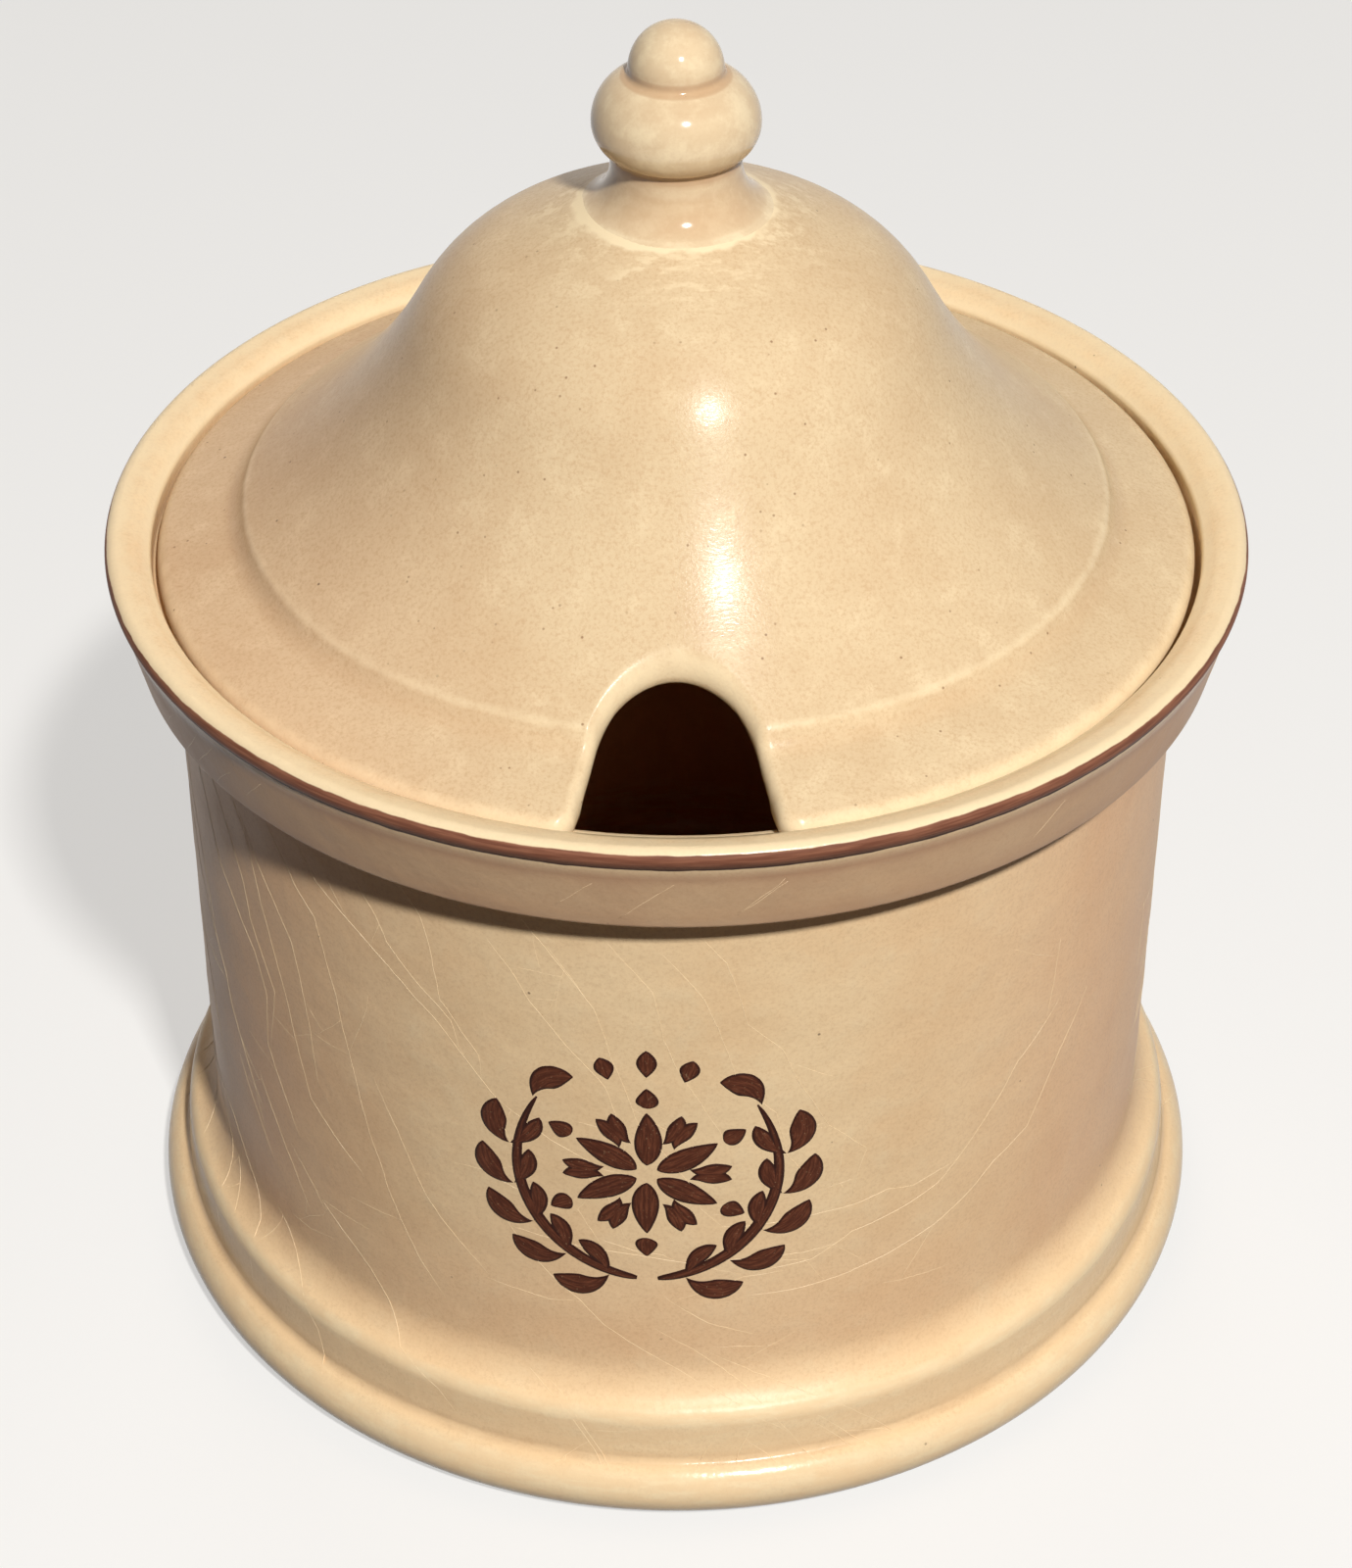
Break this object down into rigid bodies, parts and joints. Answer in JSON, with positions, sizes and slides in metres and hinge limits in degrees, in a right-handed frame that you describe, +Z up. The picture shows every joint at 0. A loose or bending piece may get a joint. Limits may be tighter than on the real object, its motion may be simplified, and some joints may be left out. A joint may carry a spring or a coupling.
{
  "type": "stoneware ice bucket",
  "caption": "Glazed stoneware ice bucket with a flared collar, a moulded foot, and a lift-off domed lid that has a turned knob and an arched notch for tongs.",
  "frame": {"origin": "centre of the foot ring, on the plane that the crock stands on", "axes": "+Z up along the axis of the crock and lid, -Y to the front, where the lid's notch is"},
  "size_m": [0.2149, 0.215, 0.2545],
  "materials": {
    "crock_glaze": "satin cream glaze with a brown painted lip",
    "lid_glaze": "satin cream glaze",
    "knob_glaze": "gloss cream glaze"
  },
  "bodies": {
    "crock": {"crock": "crock_glaze"},
    "lid": {"lid": "lid_glaze", "knob": "knob_glaze"}
  },
  "joints": [
    {"name": "lid_lift", "type": "slide", "parent": "crock", "child": "lid", "axis": [0, 0, 1], "range_m": [0, 0.12]}
  ]
}
